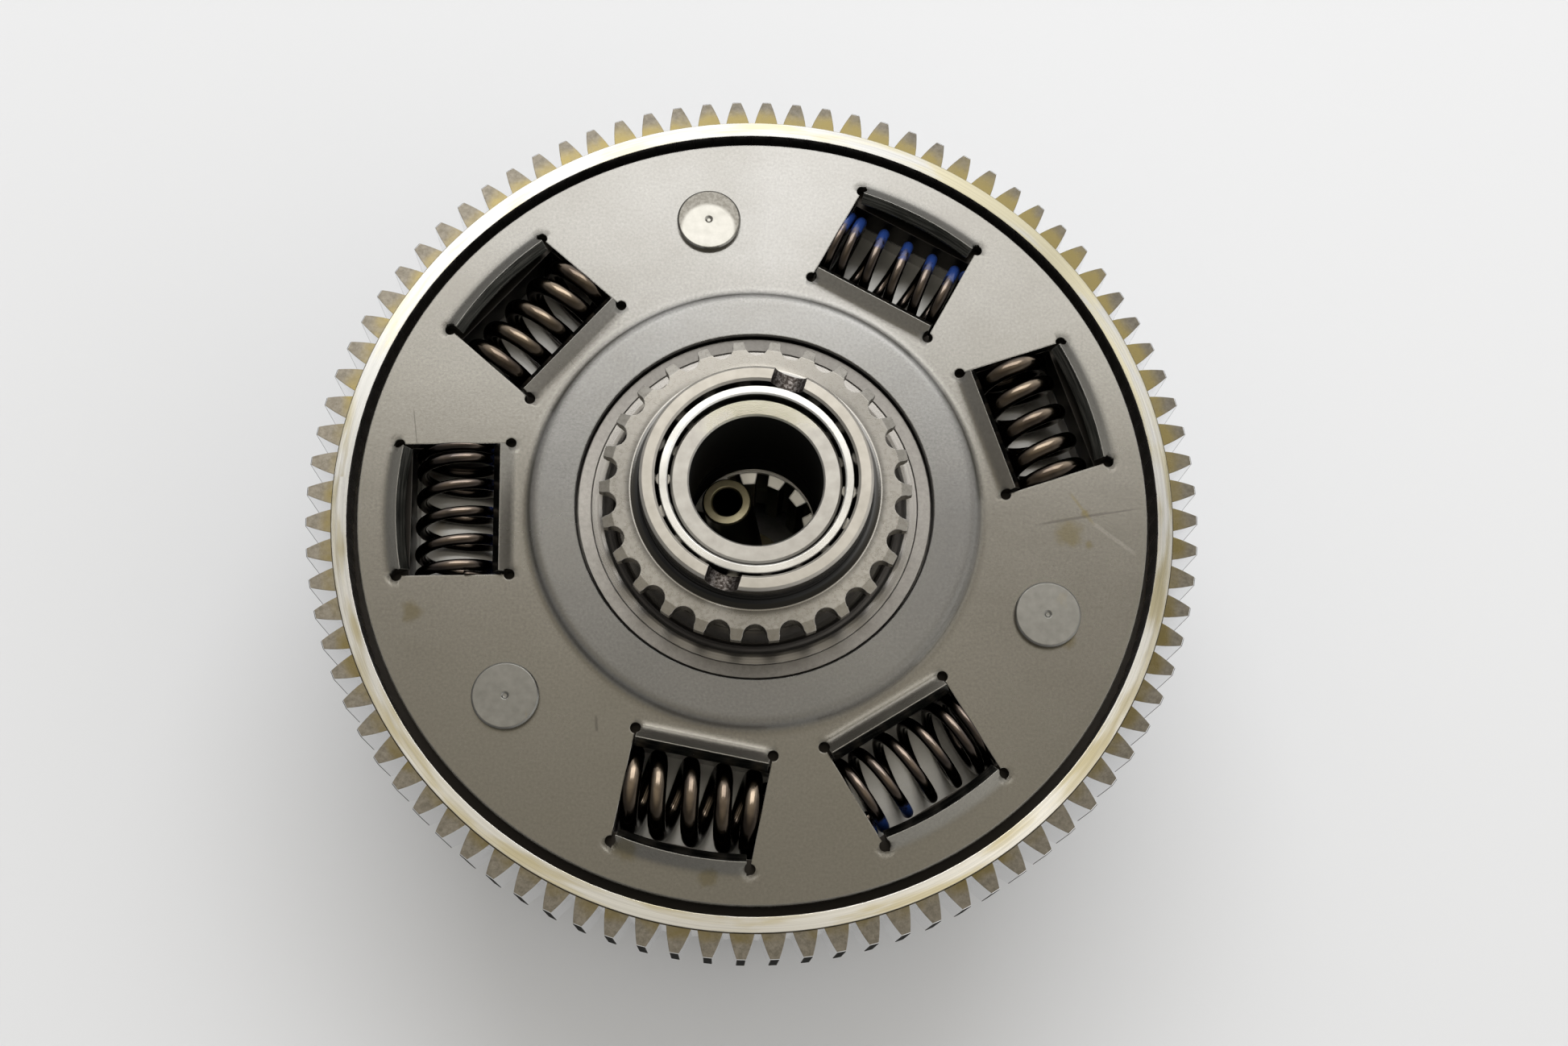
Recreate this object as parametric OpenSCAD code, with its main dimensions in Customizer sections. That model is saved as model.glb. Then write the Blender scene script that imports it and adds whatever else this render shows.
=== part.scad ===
// Wet multi-plate motorcycle clutch, complete: the basket with its primary gear and torsional
// damper on top, and the hub, plate pack and pressure plate inside.
// +Z is the crankshaft side. The floor is z = 0, where the spring bolts' heads stand.

/* [Primary gear] */
// Number of teeth on the primary gear
gear_teeth = 88; // [88:4:96]
// Module of the primary gear's teeth
gear_module = 1.75; // [1.75:0.05:1.85]
// Face width of the primary gear
gear_face = 14; // [12:0.5:15]
// Depth of a tooth from tip to root
tooth_depth = 4.35; // [4:0.05:4.5]
// Chamfer along both ends of the tooth tips
tip_chamfer = 0.2; // [0.1:0.1:1.2]
// Width of the turned land inside the teeth
land_w = 2.6; // [2:0.1:3]
// Height of the land above the tooth faces
land_h = 0.4; // [0.2:0.1:0.8]
// Turn of the gear against the X axis, in degrees
gear_phase = -1.96; // [-2:0.02:2]

/* [Torsional damper] */
// Thickness of the stamped damper plate
plate_t = 2.3; // [2:0.1:2.6]
// Gap between the damper plate's rim and the gear's land
plate_gap = 1.7; // [1.2:0.1:2.2]
// Radius of the damper plate's bore
plate_bore_r = 31.4; // [31.3:0.1:31.8]
// Outer radius of the plate's raised centre
raised_r = 39.1; // [38:0.1:40]
// Height of the raised centre
raised_h = 1.5; // [1:0.1:1.8]
// Angle of the first damper rivet, in degrees
rivet_phase = -17.4; // [-30:0.1:30]
// Radius of the rivet circle
rivet_circle_r = 54.8; // [54:0.1:55.5]
// Radius of a rivet's head
rivet_head_r = 5.8; // [5:0.1:6.5]
// Radius of the circle through the spring centres
spring_circle_r = 52.6; // [52.2:0.1:53]
// Length of a spring window
window_len = 24; // [23:0.1:24.5]
// Angle of the windows' inner lips, in degrees
inner_lip_angle = 33.5; // [28:0.5:40]
// Angle of the windows' outer lips, in degrees
outer_lip_angle = 40.5; // [35:0.5:45]
// Outer radius of a damper spring
spring_r = 7.75; // [7.4:0.05:7.8]
// Wire diameter of the light damper springs
light_wire_d = 2; // [1.8:0.1:2.2]
// Wire diameter of the strong damper springs
strong_wire_d = 3.1; // [2.8:0.1:3.2]
// Twist of the damper to either side, in degrees
twist_max = 4; // [2:0.5:4]

/* [Collar, sprocket and needle bearing] */
// Outer radius of the collar
collar_r = 19.85; // [19.6:0.05:20]
// Height of the collar's end above the gear's land
collar_rise = 17.5; // [17:0.1:18]
// Radius of the half-round slots across the collar's end
collar_slot_r = 2.9; // [2.5:0.1:3.2]
// Angle of the collar slots, in degrees
collar_slot_phase = 76.1; // [0:0.1:90]
// Number of teeth on the oil pump sprocket
sprocket_teeth = 26; // [26:1:26]
// Chain pitch of the oil pump sprocket
chain_pitch = 6.35; // [6.35:0.01:6.35]
// Angle of the first sprocket tooth, in degrees
sprocket_phase = 3.4; // [0:0.1:13.8]
// Radius of the bore for the transmission shaft
shaft_r = 11.43; // [11.3:0.01:11.5]
// Outer radius of the bearing sleeve
sleeve_r = 14.62; // [14.62:0.01:14.62]
// Number of needle rollers
roller_count = 18; // [12:1:20]

/* [Hub and plate pack] */
// Number of friction plates
friction_count = 7; // [7:1:7]
// Thickness of a friction plate
friction_t = 3; // [2.8:0.05:3]
// Thickness of a steel plate
steel_t = 2; // [1.6:0.1:2]
// Number of slots in the basket, and of tabs on a friction plate
slot_count = 12; // [10:1:12]
// Number of splines on the hub's drum
drum_splines = 24; // [20:1:28]
// Number of splines in the hub's bore
bore_splines = 13; // [11:1:14]
// Angle of the first spline in the hub's bore, in degrees
bore_spline_phase = 98; // [90:0.5:120]

/* [Pressure plate and release] */
// Number of clutch springs
clutch_spring_count = 5; // [5:1:5]
// Radius of the circle of clutch springs
clutch_spring_circle_r = 30; // [29.5:0.1:30.5]
// Lean of the loose release rod, in degrees
rod_lean = 6.73; // [0:0.1:6.8]
// Direction in which the release rod leans, in degrees
rod_lean_dir = 150.1; // [0:1:360]

/* [Hidden] */
$fn = 96;

// Levels along the axis, from the floor up
land_z = 70;
gear_top_z = land_z - land_h;
gear_bottom_z = gear_top_z - gear_face;
plate_bottom_z = land_z - plate_t;
web_bottom_z = 60;
web_top_z = 67.2;
groove_floor_z = 62.5;
spring_z = 63.2;
pocket_floor_z = 55.2;
base_top_z = 59.4;
base_bottom_z = 52.5;
finger_end_z = 8;
slot_end_z = 50;
boss_bottom_z = 54.8;
collar_top_z = land_z + collar_rise;
cage_top_z = collar_top_z - 1;
cage_bottom_z = 60.5;
roller_bottom_z = 62.6;
roller_top_z = 82.2;
sleeve_top_z = collar_top_z - 2.1;
sleeve_bottom_z = 54.62;
sprocket_top_z = 81;
sprocket_t = 3;
hub_face_z = 52;
flange_top_z = 51.6;
pack_top_z = 49;
drum_bottom_z = 17;
hub_web_z = 42;
hub_boss_bottom_z = 32;
post_end_z = 6.6;
well_floor_z = 27.5;
well_top_z = 30.5;
dish_bottom_z = 10.7;
bearing_z = 8;
bearing_w = 6;

// Radii of the gear
pitch_r = gear_module * gear_teeth / 2;
tip_r = pitch_r + gear_module;
root_r = tip_r - tooth_depth;
land_outer_r = root_r - 0.2;
land_inner_r = land_outer_r - land_w;
pressure_angle = 20;
base_r = pitch_r * cos(pressure_angle);
plate_r = land_inner_r - plate_gap;
journal_r = 22;
gear_hub_r = 31.1;

// Damper windows: three pairs, one light and one strong spring in each
window_clear = 0.05;
window_half = window_len / 2;
spring_half = window_half - window_clear;
pocket_r0 = spring_circle_r - 8.1;
pocket_r1 = spring_circle_r + 8.1;
light_angles = [for (k = [0:2]) rivet_phase - 37.8 + 120 * k];
strong_angles = [for (k = [0:2]) rivet_phase + 39.6 + 120 * k];
window_angles = concat(light_angles, strong_angles);
fold_in_r = 42.4;
fold_out_r = 64.8;
lip_len = 2.95;
lip_half = window_half - 0.4;
lip_half_arc = asin(lip_half / fold_out_r);
relief_r = 0.95;
rivet_boss_r = 8;
rivet_shank_r = 4;

// Basket and plates
finger_outer_r = 70.5;
finger_inner_r = 66.6;
boss_fit_r = 24;
slot_w = 12;
lining_r0 = 49.5;
lining_r1 = 65.5;
core_t = 1.6;
tab_w = 11.7;
tab_r = 69.9;
drum_r = 47.8;
drum_root_r = 46;
drum_inner_r = 42.8;
steel_r0 = 48.1;
steel_r1 = 65;
pack_gap = 0.02;
judder_r0 = 48.2;
judder_r1 = 55.4;
pack_h = friction_count * friction_t + (friction_count - 1) * steel_t
    + 2 * friction_count * pack_gap;
pressure_face_z = pack_top_z - pack_h;

// Needle bearing
bearing_bore_r = 17.24;
roller_r = 1.3;
roller_circle_r = (sleeve_r + bearing_bore_r) / 2;
cage_r0 = 15.08;
cage_r1 = 16.6;

// Rod and clutch springs
rod_r = 4.5;
rod_bore_r = 2.6;
rod_pivot_z = bearing_z + bearing_w / 2;
rod_up = 50.35;
rod_down = 10.55;
post_r = 6;
well_r = 10.9;
coil_r = 9.5;
coil_wire_d = 2.5;

// ---- helpers ----

// A straight ring between two radii and two levels
module ring(r1, r0, z0, z1) {
    translate([0, 0, z0])
        difference() {
            cylinder(r = r1, h = z1 - z0);
            translate([0, 0, -1])
                cylinder(r = r0, h = z1 - z0 + 2);
        }
}

// A block that spans two radii and two levels, centred on the direction a
module radial_block(a, r0, r1, w, z0, z1) {
    rotate([0, 0, a])
        translate([r0, -w / 2, z0])
            cube([r1 - r0, w, z1 - z0]);
}

// Involute of an angle, in degrees
function involute(a) = tan(a) * 180 / PI - a;

// Half of a tooth's angular thickness at radius r
function tooth_half(r) = 90 / gear_teeth + involute(pressure_angle) - involute(acos(base_r / r));

function polar(r, a) = [r * cos(a), r * sin(a)];

// Radii at which a tooth flank has a point, from root to tip
flank_steps = 4;
flank_radii = [for (i = [0:flank_steps]) root_r + tooth_depth * i / flank_steps];

function tooth_points(c) = concat(
    [for (r = flank_radii) polar(r, c - tooth_half(r))],
    [for (i = [flank_steps:-1:0]) polar(flank_radii[i], c + tooth_half(flank_radii[i]))]);

// Position along a coil spring after t turns from its middle: even pitch, then closed end turns
function coil_x(t, pitch, even_turns, closed_pitch) = abs(t) <= even_turns ? pitch * t
    : sign(t) * (pitch * even_turns + closed_pitch * (abs(t) - even_turns));

// A coil spring along X, its middle at the origin: a swept wire with flat-sided section
module coil(mean_r, wire_d, half_len, pitch, even_turns, turn_steps, sides) {
    closed_pitch = wire_d * 1.04;
    end_x = half_len - wire_d / 2;
    end_turns = even_turns + (end_x - pitch * even_turns) / closed_pitch;
    steps = ceil(2 * end_turns * turn_steps);
    points = [for (i = [0:steps])
        let (t = -end_turns + 2 * end_turns * i / steps,
            a = 360 * t + 90,
            x = coil_x(t, pitch, even_turns, closed_pitch))
        for (j = [0:sides - 1])
            let (b = 360 * j / sides,
                r = mean_r + wire_d / 2 * cos(b))
            [x + wire_d / 2 * sin(b), r * cos(a), r * sin(a)]];
    side_faces = [for (i = [0:steps - 1])
        for (j = [0:sides - 1])
            let (n = (j + 1) % sides)
            each [[i * sides + j, (i + 1) * sides + n, i * sides + n],
                [i * sides + j, (i + 1) * sides + j, (i + 1) * sides + n]]];
    first_cap = [[for (j = [0:sides - 1]) j]];
    last_cap = [[for (j = [sides - 1:-1:0]) steps * sides + j]];
    polyhedron(points = points, faces = concat(first_cap, side_faces, last_cap));
}

// ---- primary gear ----

module gear_slots() {
    half_arc = twist_max + 0.4;
    for (k = [0:2])
        rotate([0, 0, rivet_phase + 120 * k]) {
            for (s = [-1, 1])
                rotate([0, 0, s * half_arc])
                    translate([rivet_circle_r, 0, web_bottom_z - 1])
                        cylinder(r = rivet_boss_r + 0.3, h = 10);
            rotate([0, 0, -half_arc])
                rotate_extrude(angle = 2 * half_arc)
                    translate([rivet_circle_r - rivet_boss_r - 0.3, web_bottom_z - 1])
                        square([2 * rivet_boss_r + 0.6, 10]);
        }
}

module primary_gear() {
    color("#a89f8e")
        difference() {
            union() {
                intersection() {
                    translate([0, 0, gear_bottom_z])
                        linear_extrude(gear_face)
                            polygon([for (k = [0:gear_teeth - 1])
                                each tooth_points(gear_phase + 360 * k / gear_teeth)]);
                    rotate_extrude()
                        polygon([[0, gear_bottom_z],
                            [tip_r - tip_chamfer, gear_bottom_z],
                            [tip_r + 0.01, gear_bottom_z + tip_chamfer],
                            [tip_r + 0.01, gear_top_z - tip_chamfer],
                            [tip_r - tip_chamfer, gear_top_z],
                            [0, gear_top_z]]);
                }
                ring(land_outer_r, land_inner_r - 1, gear_top_z - 1, land_z);
            }
            // inside of the rim above and below the web, and the groove around the plate
            translate([0, 0, web_top_z])
                cylinder(r = land_inner_r, h = 10);
            translate([0, 0, gear_bottom_z - 1])
                cylinder(r = land_inner_r, h = web_bottom_z - gear_bottom_z + 1);
            ring(land_inner_r, land_inner_r - 3.8, groove_floor_z, land_z);
            translate([0, 0, web_bottom_z - 1])
                cylinder(r = gear_hub_r - 0.5, h = 10);
            for (a = window_angles)
                radial_block(a, pocket_r0, pocket_r1, window_len, web_bottom_z - 1, web_top_z + 1);
            gear_slots();
        }
    color("#9d9587")
        rotate_extrude()
            polygon([[journal_r + 0.04, base_top_z + 0.2],
                [gear_hub_r, base_top_z + 0.2],
                [gear_hub_r, land_z + 0.3],
                [28.85, land_z + 0.3],
                [28.7, land_z + 0.05],
                for (a = [90:10:180])
                    [27.45 + 3.2 * cos(a), land_z - 3.15 + 3.2 * sin(a)],
                [journal_r + 0.04, land_z - 3.15]]);
}

// ---- housing and damper plate ----

module clutch_housing() {
    color("#c9c9c6")
        difference() {
            union() {
                ring(finger_outer_r, boss_fit_r, base_bottom_z, base_top_z);
                ring(finger_outer_r, finger_inner_r, finger_end_z, base_bottom_z + 1);
                for (k = [0:2])
                    rotate([0, 0, rivet_phase + 120 * k])
                        translate([rivet_circle_r, 0, base_bottom_z + 1])
                            cylinder(r = rivet_boss_r, h = plate_bottom_z - base_bottom_z - 1.02);
            }
            for (k = [0:slot_count - 1])
                radial_block(360 * k / slot_count, finger_inner_r - 2, finger_outer_r + 2,
                    slot_w, finger_end_z - 1, slot_end_z);
            for (a = window_angles)
                radial_block(a, pocket_r0, pocket_r1, window_len, pocket_floor_z, base_top_z + 1);
            for (k = [0:2])
                rotate([0, 0, rivet_phase + 120 * k])
                    translate([rivet_circle_r, 0, base_bottom_z - 1]) {
                        cylinder(r = rivet_shank_r, h = 20);
                        cylinder(r = rivet_head_r + 0.4, h = 2.8);
                    }
        }
}

// Section of a lip: it leaves the plate's upper face near the fold, towards +X and up by
// the angle, and its root is sunk in the plate so that no two faces lie in one plane
module lip_section(lip_angle) {
    root = 0.9;
    lead = 0.15;
    low_z = 0.05 - plate_t;
    mitre = plate_t * tan(lip_angle / 2);
    tip = [lip_len * cos(lip_angle) - lead, lip_len * sin(lip_angle)];
    polygon([[-root, low_z], [mitre, low_z],
        [tip[0] + plate_t * sin(lip_angle), tip[1] - plate_t * cos(lip_angle)],
        tip, [-root, (lead - root) * tan(lip_angle)]]);
}

module damper_plate() {
    color("#87827b")
        difference() {
            union() {
                difference() {
                    rotate_extrude()
                        polygon([[plate_bore_r, plate_bottom_z + raised_h],
                            [raised_r - 1, plate_bottom_z + raised_h],
                            [raised_r + 0.6, plate_bottom_z],
                            [plate_r, plate_bottom_z],
                            [plate_r, land_z - 0.3],
                            [plate_r - 0.3, land_z],
                            [raised_r + 1.7, land_z],
                            [raised_r + 1, land_z + 0.2],
                            [raised_r + 0.3, land_z + raised_h - 0.35],
                            [raised_r - 0.5, land_z + raised_h],
                            [plate_bore_r + 0.3, land_z + raised_h],
                            [plate_bore_r, land_z + raised_h - 0.3]]);
                    intersection() {
                        translate([0, 0, plate_bottom_z - 1])
                            cylinder(r = fold_out_r, h = plate_t + 2);
                        for (a = window_angles)
                            radial_block(a, fold_in_r, fold_out_r + 2, window_len,
                                plate_bottom_z - 1, land_z + 1);
                    }
                }
                for (a = window_angles) {
                    rotate([0, 0, a])
                        translate([fold_in_r, lip_half, land_z])
                            rotate([90, 0, 0])
                                linear_extrude(2 * lip_half)
                                    lip_section(inner_lip_angle);
                    rotate([0, 0, a - lip_half_arc])
                        rotate_extrude(angle = 2 * lip_half_arc)
                            translate([fold_out_r, land_z])
                                mirror([1, 0])
                                    lip_section(outer_lip_angle);
                }
            }
            for (a = window_angles)
                for (s = [-1, 1])
                    rotate([0, 0, a])
                        for (v = [fold_in_r + 0.6, fold_out_r - 2.2])
                            translate([v, s * window_half, plate_bottom_z - 1])
                                cylinder(r = relief_r, h = 6);
            for (k = [0:2])
                rotate([0, 0, rivet_phase + 120 * k])
                    translate([rivet_circle_r, 0, plate_bottom_z - 1])
                        cylinder(r = rivet_shank_r, h = 6);
        }
}

module damper_rivet(k) {
    head_h = 1.2;
    tail_h = 1.5;
    color("#9a9690")
        rotate([0, 0, rivet_phase + 120 * (k - 1)])
            translate([rivet_circle_r, 0, 0])
                rotate_extrude()
                    polygon([[0, base_bottom_z + 1.8 - tail_h],
                        [rivet_head_r - 0.6, base_bottom_z + 1.8 - tail_h],
                        [rivet_head_r - 0.6, base_bottom_z + 1.8],
                        [rivet_shank_r, base_bottom_z + 1.8],
                        [rivet_shank_r, land_z],
                        [rivet_head_r, land_z],
                        [rivet_head_r, land_z + head_h - 0.3],
                        [rivet_head_r - 0.3, land_z + head_h],
                        [0.7, land_z + head_h],
                        [0.35, land_z + head_h - 0.3],
                        [0, land_z + head_h - 0.3]]);
}

module gear_cushion_spring() {
    color("#6f6c68")
        rotate_extrude()
            polygon([[32.2, web_top_z + 0.05], [37.6, web_top_z + 1],
                [37.6, web_top_z + 1.8], [32.2, web_top_z + 0.85]]);
}

module housing_boss() {
    color("#a7a09a")
        difference() {
            rotate_extrude()
                polygon([[bearing_bore_r, boss_bottom_z],
                    [boss_fit_r, boss_bottom_z],
                    [boss_fit_r, base_top_z],
                    [journal_r, base_top_z],
                    [journal_r, 70.6],
                    [20.9, 71.7],
                    [20.9, 75.8],
                    [21.7, 76.8],
                    [21.7, sprocket_top_z - sprocket_t],
                    [collar_r, sprocket_top_z - sprocket_t],
                    [collar_r, collar_top_z - 0.5],
                    [collar_r - 0.5, collar_top_z],
                    [bearing_bore_r + 0.4, collar_top_z],
                    [bearing_bore_r, collar_top_z - 0.4]]);
            translate([0, 0, collar_top_z])
                rotate([0, 90, collar_slot_phase])
                    cylinder(r = collar_slot_r, h = 60, center = true);
        }
}

module oil_pump_sprocket() {
    pitch_circle_r = chain_pitch / sin(180 / sprocket_teeth) / 2;
    sprocket_tip_r = pitch_circle_r + 0.55;
    tip_bevel_r = 1.85;
    tip_bevel_h = 0.7;
    low_z = sprocket_top_z - sprocket_t;
    fillet_r = 1.6;
    gap_r = 2.1;
    gap_circle_r = pitch_circle_r - 0.24;
    color("#9c968e")
        difference() {
            rotate_extrude()
                polygon([[collar_r, low_z],
                    [sprocket_tip_r - tip_bevel_r, low_z],
                    [sprocket_tip_r, low_z + tip_bevel_h],
                    [sprocket_tip_r, sprocket_top_z - tip_bevel_h],
                    [sprocket_tip_r - tip_bevel_r, sprocket_top_z],
                    for (a = [270:-15:180])
                        [collar_r + fillet_r + fillet_r * cos(a),
                            sprocket_top_z + fillet_r + fillet_r * sin(a)]]);
            for (k = [0:sprocket_teeth - 1])
                rotate([0, 0, sprocket_phase + 360 * (k + 0.5) / sprocket_teeth])
                    translate([gap_circle_r, 0, low_z - 1]) {
                        cylinder(r = gap_r, h = sprocket_t + 2);
                        linear_extrude(sprocket_t + 2)
                            polygon([[0, -gap_r], [1.6, -2.75], [1.6, 2.75], [0, gap_r]]);
                    }
        }
}

// ---- damper springs ----

// How far each spring's middle turn sits from the window's middle, light springs first
spring_shift = [0.85, 1.06, -0.6, 0.2, 0.85, 0.4];

module damper_spring(k) {
    strong = k > 3;
    wire_d = strong ? strong_wire_d : light_wire_d;
    pitch = strong ? 5.7 : 5.05;
    even_turns = strong ? 1.6 : 1.95;
    color(strong ? "#6b5a49" : "#4d4a52")
        rotate([0, 0, window_angles[k - 1]])
            translate([spring_circle_r, 0, spring_z])
                rotate([0, 0, -90])
                    rotate([-360 * spring_shift[k - 1] / pitch, 0, 0])
                        coil(spring_r - wire_d / 2, wire_d, spring_half, pitch, even_turns, 14, 6);
}

// ---- needle bearing and sleeve ----

module needle_cage() {
    color("#d8d5cd")
        difference() {
            rotate_extrude()
                polygon([[cage_r0, cage_bottom_z], [cage_r1, cage_bottom_z],
                    [cage_r1, cage_top_z - 0.15], [cage_r1 - 0.15, cage_top_z],
                    [cage_r0 + 0.25, cage_top_z], [cage_r0, cage_top_z - 0.25]]);
            for (k = [0:roller_count - 1])
                radial_block(360 * k / roller_count, cage_r0 - 1, cage_r1 + 1, 2 * roller_r + 0.1,
                    roller_bottom_z - 0.1, roller_top_z + 0.1);
        }
}

module needle_rollers() {
    color("#c0bfbc")
        for (k = [0:roller_count - 1])
            rotate([0, 0, 360 * k / roller_count])
                translate([roller_circle_r, 0, roller_bottom_z])
                    cylinder(r = roller_r, h = roller_top_z - roller_bottom_z);
}

module bearing_sleeve() {
    oil_groove_z = 61;
    color("#b3ada6")
        rotate_extrude()
            polygon([[shaft_r, sleeve_bottom_z],
                [sleeve_r, sleeve_bottom_z],
                [sleeve_r, sleeve_top_z - 0.4],
                [sleeve_r - 0.4, sleeve_top_z],
                [shaft_r + 0.3, sleeve_top_z],
                [shaft_r, sleeve_top_z - 0.3],
                [shaft_r, oil_groove_z + 2],
                [shaft_r + 0.7, oil_groove_z + 2],
                [shaft_r + 0.7, oil_groove_z],
                [shaft_r, oil_groove_z]]);
}

module thrust_washer() {
    color("#b0aeaa")
        ring(23, 12, hub_face_z + 0.02, sleeve_bottom_z - 0.02);
}

// ---- hub ----

module clutch_hub() {
    spline_minor_r = 9.5;
    spline_major_r = 11.6;
    lead_in_h = 0.7;
    color("#bdbcb8")
        union() {
            difference() {
                union() {
                    ring(17, spline_major_r, hub_boss_bottom_z, hub_face_z);
                    ring(drum_inner_r + 0.5, 16.5, hub_web_z, hub_web_z + 4);
                    ring(62, drum_inner_r, pack_top_z, flange_top_z);
                    ring(drum_r, drum_inner_r, drum_bottom_z, pack_top_z + 1);
                    for (k = [0:clutch_spring_count - 1])
                        rotate([0, 0, 72 * k])
                            translate([clutch_spring_circle_r, 0, post_end_z])
                                cylinder(r = post_r, h = hub_web_z + 1 - post_end_z);
                }
                for (k = [0:drum_splines - 1])
                    radial_block(360 * k / drum_splines, drum_root_r, drum_r + 1, 5,
                        drum_bottom_z - 1, pack_top_z);
                for (k = [0:clutch_spring_count - 1]) {
                    rotate([0, 0, 72 * k])
                        translate([clutch_spring_circle_r, 0, post_end_z - 1])
                            cylinder(r = 3, h = 17);
                    rotate([0, 0, 72 * k + 36])
                        translate([clutch_spring_circle_r, 0, hub_web_z - 1])
                            cylinder(r = 5, h = 6);
                }
            }
            // splines, their upper ends sloped to lead the shaft in
            difference() {
                for (k = [0:bore_splines - 1])
                    rotate([0, 0, bore_spline_phase + 360 * k / bore_splines])
                        translate([0, 0, hub_boss_bottom_z + 0.3])
                            linear_extrude(hub_face_z - hub_boss_bottom_z - 0.3)
                                polygon([[spline_minor_r, -1.15], [spline_major_r + 0.3, -1.82],
                                    [spline_major_r + 0.3, 1.82], [spline_minor_r, 1.15]]);
                translate([0, 0, hub_face_z - lead_in_h])
                    cylinder(r1 = spline_minor_r - 0.1, r2 = spline_minor_r + 4.2, h = lead_in_h + 0.4);
            }
        }
}

// ---- plate pack: plates are counted from the hub's flange, friction first ----

// Upper face of the plate at a place in the pack, where place 0 is next to the flange
function pack_z(place) = pack_top_z - pack_gap * (place + 1)
    - ceil(place / 2) * friction_t - floor(place / 2) * steel_t;

module friction_plate(n) {
    top_z = pack_z(2 * n - 2);
    inner_r = n == 1 ? judder_r1 + 0.6 : lining_r0;
    mid_z = top_z - friction_t / 2;
    color("#7c6a4f")
        difference() {
            union() {
                ring(lining_r1, inner_r, top_z - friction_t, top_z);
                ring(lining_r1 + 0.8, lining_r1 - 1, mid_z - core_t / 2, mid_z + core_t / 2);
                for (k = [0:slot_count - 1])
                    radial_block(360 * k / slot_count, lining_r1 - 1, tab_r, tab_w,
                        mid_z - core_t / 2, mid_z + core_t / 2);
            }
            // oil grooves across the linings
            for (k = [0:slot_count - 1])
                for (z0 = [top_z - 0.5, top_z - friction_t - 0.5])
                    radial_block(360 * (k + 0.5) / slot_count, lining_r0 - 2, lining_r1 + 3, 2,
                        z0, z0 + 1);
        }
}

module steel_plate(n) {
    top_z = pack_z(2 * n - 1);
    color("#9aa0a4")
        union() {
            ring(steel_r1, steel_r0, top_z - steel_t, top_z);
            for (k = [0:drum_splines - 1])
                radial_block(360 * k / drum_splines, drum_root_r + 0.4, steel_r0 + 0.8, 4.7,
                    top_z - steel_t, top_z);
        }
}

module judder_seat() {
    color("#a5a5a2")
        ring(judder_r1, judder_r0, pack_top_z - friction_t, pack_top_z - friction_t + 1);
}

module judder_spring() {
    bottom_z = pack_top_z - friction_t + 1.05;
    color("#77746f")
        rotate_extrude()
            polygon([[judder_r0, bottom_z], [judder_r1, bottom_z + 0.7],
                [judder_r1, bottom_z + 1.7], [judder_r0, bottom_z + 1]]);
}

// ---- pressure plate, its springs and the release parts ----

module pressure_plate() {
    color("#c3c3c0")
        difference() {
            union() {
                ring(65.4, 47, dish_bottom_z, pressure_face_z);
                ring(48, 8.5, dish_bottom_z, dish_bottom_z + 3);
                ring(14.5, 8.5, bearing_z - 0.5, bearing_z + bearing_w + 3);
                for (k = [0:clutch_spring_count - 1])
                    rotate([0, 0, 72 * k])
                        translate([clutch_spring_circle_r, 0, dish_bottom_z])
                            cylinder(r = 12.5, h = well_top_z - dish_bottom_z);
            }
            translate([0, 0, bearing_z - 1])
                cylinder(r = 11, h = bearing_w + 1);
            for (k = [0:clutch_spring_count - 1])
                rotate([0, 0, 72 * k])
                    translate([clutch_spring_circle_r, 0, 0]) {
                        cylinder(r = well_r, h = well_floor_z);
                        cylinder(r = post_r + 0.6, h = well_top_z + 1);
                    }
        }
}

module ball_track() {
    rotate_extrude()
        translate([8, rod_pivot_z])
            circle(r = 1.62);
}

module bearing_outer_race() {
    color("#c8c8c6")
        difference() {
            ring(10.99, 9.2, bearing_z, bearing_z + bearing_w);
            ball_track();
        }
}

module bearing_inner_race() {
    color("#c8c8c6")
        difference() {
            ring(6.8, 5, bearing_z, bearing_z + bearing_w);
            ball_track();
        }
}

module bearing_balls() {
    color("#d5d5d3")
        for (k = [0:8])
            rotate([0, 0, 40 * k])
                translate([8, 0, rod_pivot_z])
                    sphere(r = 1.58);
}

// Loose hollow rod with a collar, standing in the release bearing
module release_rod() {
    color("#cfc7a6")
        translate([0, 0, rod_pivot_z])
            rotate([0, 0, rod_lean_dir])
                rotate([0, rod_lean, 0])
                    rotate_extrude()
                        polygon([[0, -rod_down],
                            [rod_r - 0.5, -rod_down],
                            [rod_r, 0.5 - rod_down],
                            [rod_r, 8.5],
                            [8, 8.5],
                            [8, 11],
                            [rod_r, 11],
                            [rod_r, rod_up - 0.3],
                            [rod_r - 0.3, rod_up],
                            [rod_bore_r + 0.3, rod_up],
                            [rod_bore_r, rod_up - 0.3],
                            [rod_bore_r, rod_up - 34],
                            [0, rod_up - 36]]);
}

module clutch_spring(k) {
    bottom_z = post_end_z + 0.05;
    half_len = (well_floor_z - 0.05 - bottom_z) / 2;
    color("#8b8f93")
        rotate([0, 0, 72 * (k - 1)])
            translate([clutch_spring_circle_r, 0, bottom_z + half_len])
                rotate([0, -90, 0])
                    coil(coil_r - coil_wire_d / 2, coil_wire_d, half_len, 4.4, 1.6, 12, 6);
}

module spring_washer(k) {
    color("#a9a9a6")
        rotate([0, 0, 72 * (k - 1)])
            translate([clutch_spring_circle_r, 0, 0])
                ring(10.2, 3.2, 5, post_end_z);
}

module spring_bolt(k) {
    hex_r = 5.77;
    color("#8d8f90")
        rotate([0, 0, 72 * (k - 1)])
            translate([clutch_spring_circle_r, 0, 0]) {
                cylinder(r = hex_r, h = 4, $fn = 6);
                translate([0, 0, 3.6])
                    cylinder(r = 7, h = 1.4);
                translate([0, 0, 4])
                    cylinder(r = 2.98, h = 17);
            }
}

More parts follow.
